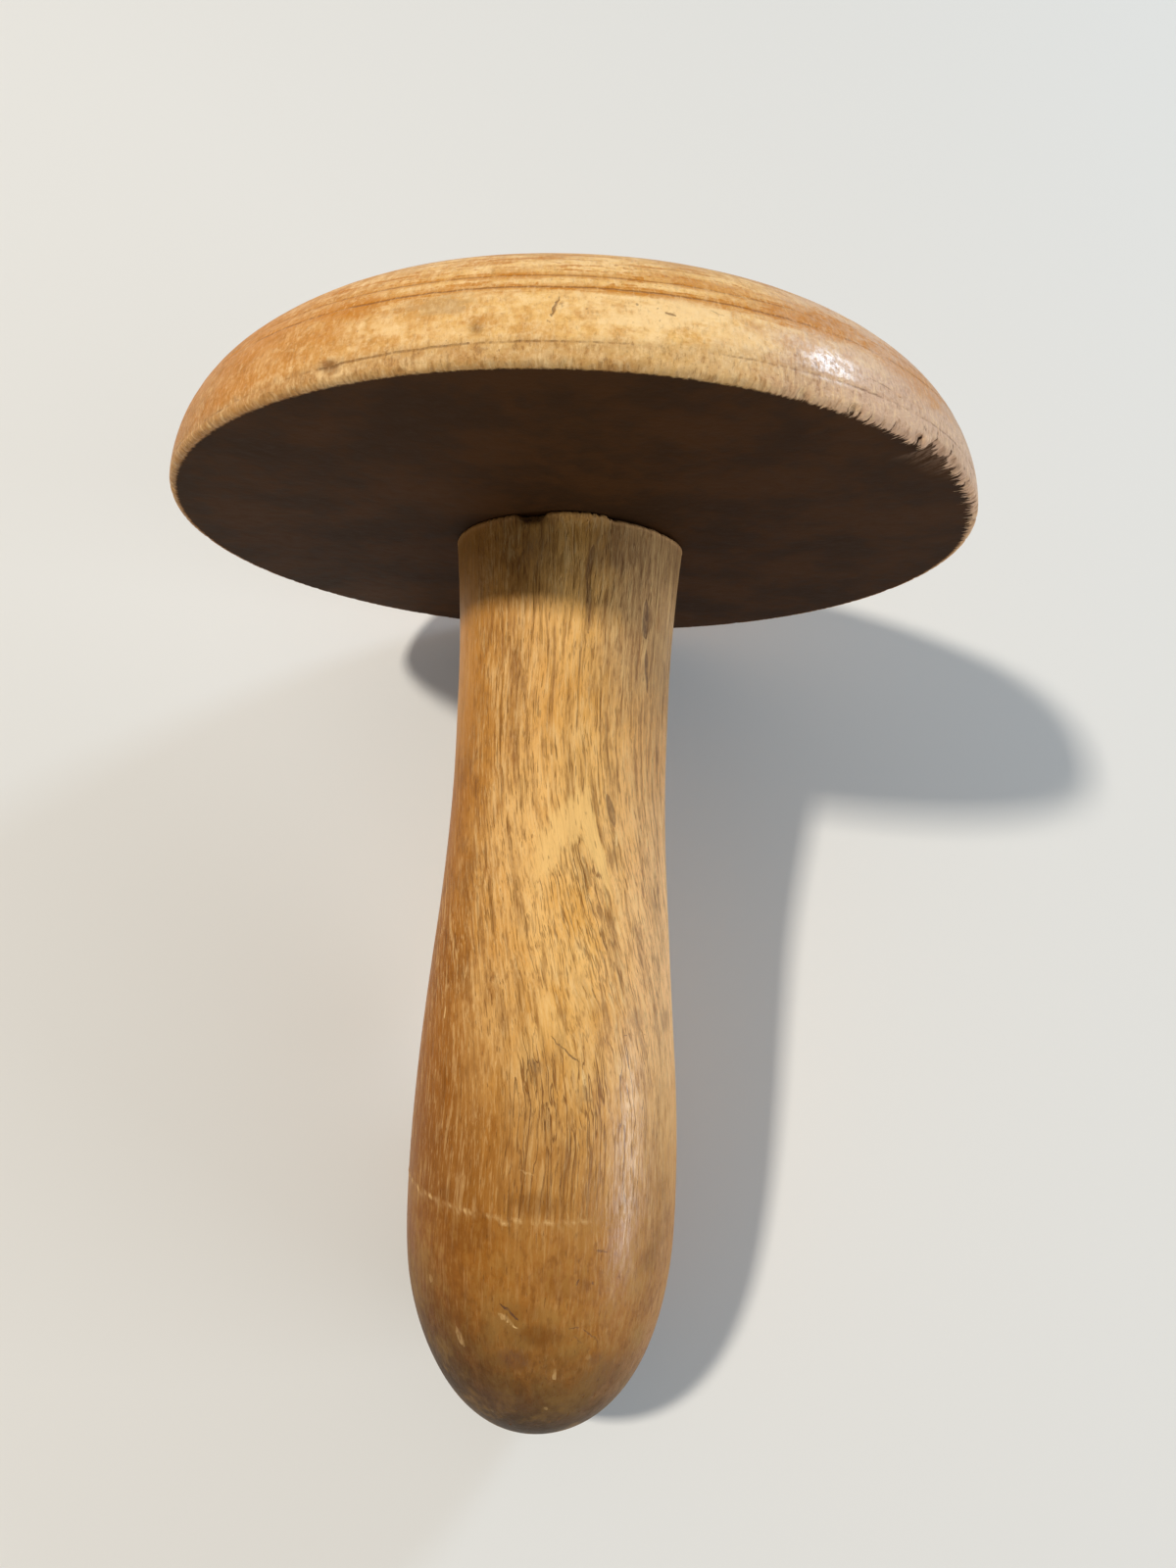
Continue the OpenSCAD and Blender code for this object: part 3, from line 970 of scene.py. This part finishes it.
def handleFinish():
    finish, graph, spot = startFinish("oldTurnedHandle")
    x, y, z = graph.split(spot)
    down = 0 - z
    turned = graph.maths("ARCTAN2", x, 0 - y)
    pale, dark, torn = (graph.attribute(name) for name in ("pale", "dark", "torn"))
    cloud = graph.noise(spot, (0.13, 0.13, 0.07), detail=3.0, shift=(1, 6, 4))
    mottle = graph.noise(spot, (0.7, 0.7, 0.4), detail=4.0, rough=0.6, shift=(4, 4, 9))
    fray = graph.noise(spot, (1.8, 1.8, 0.9), detail=3.0, rough=0.6)
    haze = graph.noise(spot, (0.22, 0.22, 0.2), detail=4.0, rough=0.65, shift=(9, 1, 5))
    frayed = stray(fray, 1.2)

    # The fibres waver, and lean round the handle as it swells
    sway = graph.noise(spot, (0.3, 0.3, 0.1), detail=2.0, shift=(3, 1, 7)) - 0.5
    wobble = graph.noise(spot, (1.0, 1.0, 0.4), detail=2.0, shift=(6, 3, 2)) - 0.5
    shift = sway + wobble * 0.2
    wavy = graph.vector("ADD", spot, graph.join(shift, shift * 0.6, 0.0))
    lean = handleFacts["grainLean"]
    leaning = graph.ease(down, lean["from"], lean["to"]) * math.radians(-lean["turn"])
    grain = graph.wire(graph.make("ShaderNodeVectorRotate", {"rotation_type": "Z_AXIS"},
                                  {"Vector": wavy, "Angle": leaning}))
    fibre = graph.noise(grain, (5.2, 5.2, 0.55), detail=3.0, rough=0.65, shift=(2, 2, 2))
    ridge = graph.noise(grain, (2.3, 2.3, 0.17), detail=4.0, rough=0.66, shift=(7, 7, 1))
    streak = graph.noise(grain, (0.8, 0.8, 0.05), detail=3.0, rough=0.6, shift=(8, 8, 3))
    level = graph.noise(grain, (1.5, 1.5, 0.035), detail=2.0, rough=0.55, shift=(5, 9, 3))
    hair = 1 - graph.ease(graph.maths("ABSOLUTE", level - 0.5), 0.005, 0.028)
    hair = hair * graph.ease(ridge * 0.6 + streak * 0.4, 0.42, 0.5)

    # Growth rings lie face up across the handle, and its swell cuts them into pointed arches
    drift = graph.noise(spot, (0.1, 0.1, 0.045), detail=2.0, shift=(5, 2, 1)) - 0.5
    rings = handleFacts["rings"]
    aside = (1 - graph.ease(down, 24.0, 46.0)) * rings["aside"]
    sunk = graph.maths("MINIMUM", z - rings["leanFrom"], 0.0) * rings["lean"]
    depth = x * x * (1 / rings["curve"]) - y + x * aside + sunk + drift * 0.6
    phase = graph.maths("FRACT", (depth - rings["first"]) * (1 / rings["apart"]) + 20)
    figure = graph.ease(down, 13.0, 20.0)
    early = 1 - graph.ease(phase, 0.3, 0.85)
    rubbed = graph.ease(stray(fray, 2.0) + down, 61.4, 62.3)
    rubbed = (rubbed + graph.ease(stray(mottle, 16.0) + down, 50.0, 68.0)) * 0.5
    ragged = stray(ridge, 9.0) + frayed * 1.5
    late = 0.0
    throat = 0.0
    for arch in handleFacts["arches"]:
        band, below = archMasks(graph, turned, z, ragged, arch)
        late = graph.most(late, band)
        throat = graph.most(throat, below)

    # Where the grain stands open, and where hands have closed it
    leftSmooth = graph.ease(stray(fray, 5.0) - x, 6.0, 9.0) * (1 - graph.ease(down, 26.0, 42.0))
    calm = graph.ease(0 - x + stray(mottle, 8.0), 0.5, 7.0) * graph.ease(down, 34.0, 50.0) * 0.6
    rightSmooth = graph.ease(x + stray(mottle, 4.0), 3.0, 8.0) * graph.ease(down, 38.0, 50.0) * 0.6
    amount = 0.44 + (early - 0.5) * 0.3 * figure + throat * 0.1
    amount = amount * (1 - calm) * (1 - rubbed * 0.8) * (1 - leftSmooth * 0.7) * (1 - late * 0.8)
    amount = amount * (1 - rightSmooth)
    hairZone = graph.ease(x, -5.0, -2.0) * (1 - graph.ease(x, 8.0, 10.5))
    hairZone = hairZone * graph.ease(down, 43.0, 49.0) * (1 - graph.ease(down, 59.0, 64.0))
    hairs = hair * graph.most(hairZone, throat, 0.15) * (1 - rubbed * 0.8)
    pores = poresOf(graph, grain, amount + stray(cloud, 0.5))
    onSwell = graph.ease(down, 42.0, 54.0)
    plain = 1 - graph.most(late * 0.4, calm * 0.7, rubbed * 0.75, onSwell * 0.45, leftSmooth * 0.7)

    # Colour: worn pale in the middle, amber to the left, rosy to the right, and darker towards the bulb and
    # the end. The warmer left and rosier right are partly the wood's tone and partly painted light, warm
    # from the key lamp on the left and cool from the lamps on the right.
    paint = Paint(graph, handleFacts["tones"], "gold")
    paint.over(graph.ease(cloud + stray(mottle, 0.4), 0.34, 0.6), "honey")
    slimmer = graph.ease(down, 14.0, 30.0) * 2.2
    # The amber of the left side is partly painted warm light from the key lamp.
    leftSide = graph.ease(stray(mottle, 5.0) - x - slimmer, 0.0, 8.8)
    paint.over(leftSide * 0.95, "amber")
    handled = graph.ease(haze + stray(fray, 0.5), 0.52, 0.36) * leftSide
    paint.over(handled * 0.45, "umber")
    # The rosy right side is partly painted cool light from the lamps on that side.
    rightSide = graph.ease(x + stray(mottle, 6.0), 1.5, 10.0)
    rosyShare = 0.75 - graph.ease(down, 42.0, 58.0) * 0.4
    paint.over(rightSide * rosyShare, "rosy")
    # Darker towards the bottom of the handle.
    lower = graph.ease(stray(mottle, 12.0) - z - x * 0.35, 36.0, 66.0)
    paint.over(lower * 0.85, "bulb")
    deep = leftSide * graph.ease(down, 44.0, 64.0)
    paint.over(deep * 0.5, "umber")
    # Painted shade: the right of the neck near the cap turns cool grey, as where only the cool lamp reaches
    # it.
    paintedCoolShade = graph.ease(x + stray(mottle, 5.0), 0.5, 6.0) * graph.ease(z + stray(fray, 8.0), -21.0, -12.0)
    paint.over(paintedCoolShade * 0.75, "paintedCoolShade")
    upperNeck = graph.ease(z + stray(mottle, 10.0), -28.0, -14.0) * 0.35
    paint.over(upperNeck, "gold")
    poreTone = graph.colours(rightSide, paint.tones["pore"], paint.tones["rosyPore"])
    # Pale flecks along the ridges and fibres are partly pale wood and partly painted glints.
    paint.flecks([
        (streak, 0.48, 0.66, (0.3 + throat * 0.1) * plain, poreTone),
        (mottle, 0.52, 0.72, 0.3, "amber"),
        (ridge, 0.5, 0.36, plain * 0.5, poreTone),
        (ridge, 0.53, 0.64, plain * 0.42, "fleck"),
        (fibre, 0.53, 0.67, plain * 0.38, "fleck"),
        (fibre, 0.47, 0.33, plain * 0.42, poreTone),
    ])
    paint.over(late * 0.75, "latewood")
    # Painted shadow: the cap's cast shadow on the top of the neck, painted in the darkest tone.
    capShadowOnNeck = graph.ease(z + stray(mottle, 5.0), -8.0, -2.0)
    paint.over(capShadowOnNeck * 0.36, "grimeAndShade")
    polished = graph.ease(down, 56.0, 66.0)
    paint.flecks([
        (haze, 0.45, 0.66, polished * 0.3, "smudge"),
        (haze, 0.48, 0.32, polished * 0.35, "umber"),
        (fray, 0.5, 0.66, polished * 0.32, "umber"),
        (fray, 0.5, 0.36, polished * 0.3, "smudge"),
    ])
    stained = patchMask(graph, turned, z, bulbReach, handleFacts["stains"], frayed)
    paint.over(stained * 0.7, "umber")
    # The free end and its tip are darkened by grime and by painted shade.
    end = graph.ease(stray(haze, 12.0) + stray(mottle, 8.0) - z - x * 0.35, 67.0, 83.0)
    paint.over(end * 0.9, "grimeAndShade")
    tip = graph.ease(stray(haze, 4.0) - z - x * 0.1, 81.0, 86.0)
    paint.over(tip * 0.85, "grimeAndShade")
    smudge = graph.ease(mottle * 0.3 + haze * 0.9 - 0.1, 0.45, 0.67) * graph.ease(down, 60.0, 74.0)
    paint.over(smudge * 0.34, "smudge")
    spots = graph.ease(fray, 0.62, 0.76) * polished
    paint.over(spots * 0.35, "pore")
    paint.over(pores * 0.52, poreTone)
    paint.over(hairs * 0.78, poreTone)
    bruised = patchMask(graph, turned, z, gripReach, handleFacts["bruises"], frayed)
    paint.over(bruised * (0.35 + graph.ease(fibre, 0.4, 0.6) * 0.35), "bruise")
    wandering = graph.vector("ADD", spot, graph.join(wobble * 0.7, 0.0, stray(fray, 0.7)))
    lines = lineMask(graph, wandering, handleFacts["scratches"], handleRadius)
    paint.over(lines * (0.5 + graph.ease(fray, 0.35, 0.6) * 0.4), "bruise")
    grit = graph.ease(fray, 0.4, 0.6)
    scars = lineMask(graph, wandering, handleFacts["scars"], handleRadius)
    paint.over(scars * (0.3 + grit * 0.7), "fleck")
    paint.over(pale * (0.35 + grit * 0.65), "fleck")
    paint.over(dark * (0.5 + grit * 0.5), "bruise")
    paint.over(torn * 0.4, "rosy")

    shine = patchMask(graph, turned, z, gripReach, handleFacts["shine"], frayed * 0.4)
    roughness = 0.38 + pores * 0.3 + torn * 0.25 + end * 0.1 + stray(mottle, 0.2) - shine * 0.1
    height = ridge * 0.12 * plain + fibre * 0.06 * plain - pores * 0.07 + mottle * 0.07 + fray * 0.03
    coat = shine * (0.11 + graph.ease(fibre + stray(fray, 0.6), 0.38, 0.6) * 0.56) * (1 - pores * 0.8)
    endFinish(graph, paint.colour, roughness, height - lines * 0.06 - hairs * 0.05, coat,
              {"Specular IOR Level": 0.1, "Coat Roughness": 0.33})
    return finish


handlePiece = turnPiece("handle_turned", handleOutline(), handleFacts, handleFinish())
wearHandle(handlePiece.data)
layDown(handlePiece)
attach(handlePiece, "root")
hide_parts("handle")
print("handle turned and worn:", len(handlePiece.data.vertices), "points")


glueFacts = {"deep": tint(146, 98, 44), "clear": tint(206, 164, 104), "speck": tint(232, 210, 168)}


def glueFinish():
    finish, graph, spot = startFinish("setHideGlue")
    cloud = graph.noise(spot, (0.5, 0.5, 0.5), detail=3.0)
    specks = graph.noise(spot, (4.0, 4.0, 4.0), detail=2.0, shift=(5, 5, 5))
    paint = Paint(graph, glueFacts, "deep")
    paint.over(cloud, "clear")
    paint.flecks([(specks, 0.62, 0.7, 0.5, "speck")])
    endFinish(graph, paint.colour, 0.3 + cloud * 0.25, specks * 0.02 + cloud * 0.05, 0.0, {"IOR": 1.52})
    return finish


glueNode = frame["nodes"]["glue_film"]
glueNode.data.materials.clear()
glueNode.data.materials.append(glueFinish())
print("glue finished")


# The floor, the light and the camera

studio = {
    "floorTone": tint(226, 224, 220),
    "floorAcross": 4.0,
    "floorFade": (0.24, 0.6),
    "skyLight": 0.22,
    "backdrop": (0.93, 0.925, 0.915, 1.0),
    "key": {"place": (-0.43, 0.045, 0.69), "size": (0.055, 0.055), "along": (0, 1, 0), "power": 4.8,
            "tone": (1.0, 0.95, 0.86)},
    "window": {"place": (0.444, 0.399, 0.26), "size": (0.1, 0.1), "along": (0, 1, 0), "power": 1.3,
               "tone": (0.62, 0.81, 1.0)},
    "strip": {"place": (0.472, -0.186, 0.125), "size": (0.3, 0.08), "along": (0, 1, 0), "power": 1.2,
              "tone": (0.84, 0.92, 1.0)},
}
# How the photograph was taken: the place in millimetres, the angles in degrees, the rest in its pixels
shot = {
    "place": (-0.74, -24.7, 116.0),
    "elevation": 72.70,
    "roll": 2.53,
    "focal": 965.6,
    "middle": (560.4, 863.3),
    "picture": (1200, 1600),
    "sensor": 36,
}


def makeFloor():
    half = studio["floorAcross"] / 2
    mesh = bpy.data.meshes.new("floor")
    corners = [(-half, -half, 0), (half, -half, 0), (half, half, 0), (-half, half, 0)]
    mesh.from_pydata(corners, [], [(0, 1, 2, 3)])
    floor = bpy.data.objects.new("floor", mesh)
    bpy.context.scene.collection.objects.link(floor)
    finish = bpy.data.materials.new("paleFloor")
    finish.use_nodes = True
    finish.node_tree.nodes.clear()
    graph = Graph(finish.node_tree)
    place = graph.wire(graph.make("ShaderNodeTexCoord", {}, {}), "Object")
    away = graph.make("ShaderNodeVectorMath", {"operation": "LENGTH"}, {0: place})
    solid = 1 - graph.ease(graph.wire(away, "Value"), *studio["floorFade"])
    shader = graph.make("ShaderNodeBsdfPrincipled", {}, {
        "Base Color": studio["floorTone"], "Roughness": 0.85, "Alpha": solid})
    graph.make("ShaderNodeOutputMaterial", {}, {"Surface": graph.wire(shader)})
    mesh.materials.append(finish)


def makeSky():
    world = bpy.data.worlds.new("studioSky")
    world.use_nodes = True
    world.node_tree.nodes.clear()
    graph = Graph(world.node_tree)
    ray = graph.make("ShaderNodeLightPath", {}, {})
    seen = graph.most(graph.wire(ray, "Is Camera Ray"), graph.wire(ray, "Is Glossy Ray"))
    seen = graph.most(seen, graph.wire(ray, "Is Transmission Ray"))
    lit = graph.make("ShaderNodeBackground", {}, {"Color": (1, 1, 1, 1), "Strength": studio["skyLight"]})
    shown = graph.make("ShaderNodeBackground", {}, {"Color": studio["backdrop"], "Strength": 1.0})
    mixed = graph.make("ShaderNodeMixShader", {}, {0: seen, 1: graph.wire(lit), 2: graph.wire(shown)})
    graph.make("ShaderNodeOutputWorld", {}, {"Surface": graph.wire(mixed)})
    bpy.context.scene.world = world


def makeLamp(name, facts, aim):
    lamp = bpy.data.lights.new(name, "AREA")
    lamp.shape = "RECTANGLE"
    lamp.size, lamp.size_y = facts["size"]
    lamp.energy = facts["power"]
    lamp.color = facts["tone"]
    holder = bpy.data.objects.new(name, lamp)
    place = Vector(facts["place"])
    away = (place - aim).normalized()
    upwards = away.cross(Vector(facts["along"])).normalized()
    turn = Matrix((upwards.cross(away), upwards, away)).transposed().to_4x4()
    holder.matrix_world = Matrix.Translation(place) @ turn
    bpy.context.scene.collection.objects.link(holder)


def makeCamera():
    lens = bpy.data.cameras.new("camera")
    wide, tall = shot["picture"]
    lens.sensor_width = shot["sensor"]
    lens.lens = shot["focal"] / tall * shot["sensor"]
    lens.shift_x = (wide / 2 - shot["middle"][0]) / tall
    lens.shift_y = (shot["middle"][1] - tall / 2) / tall
    lens.clip_start = 0.01
    camera = bpy.data.objects.new("camera", lens)
    rise, roll = math.radians(shot["elevation"]), math.radians(shot["roll"])
    backwards = Vector((0, -math.cos(rise), math.sin(rise)))
    level = Vector((1, 0, 0))
    upwards = backwards.cross(level)
    right = math.cos(roll) * level + math.sin(roll) * upwards
    turn = Matrix((right, backwards.cross(right), backwards)).transposed().to_4x4()
    camera.matrix_world = Matrix.Translation(Vector(shot["place"]) * mm) @ turn
    bpy.context.scene.collection.objects.link(camera)
    bpy.context.scene.camera = camera


makeFloor()
makeSky()
middle = (cadBox[0] + cadBox[1]) / 2
for name in ("key", "window", "strip"):
    makeLamp(name + "Lamp", studio[name], middle)
makeCamera()
bpy.context.scene.view_settings.view_transform = "Standard"
print("studio ready")
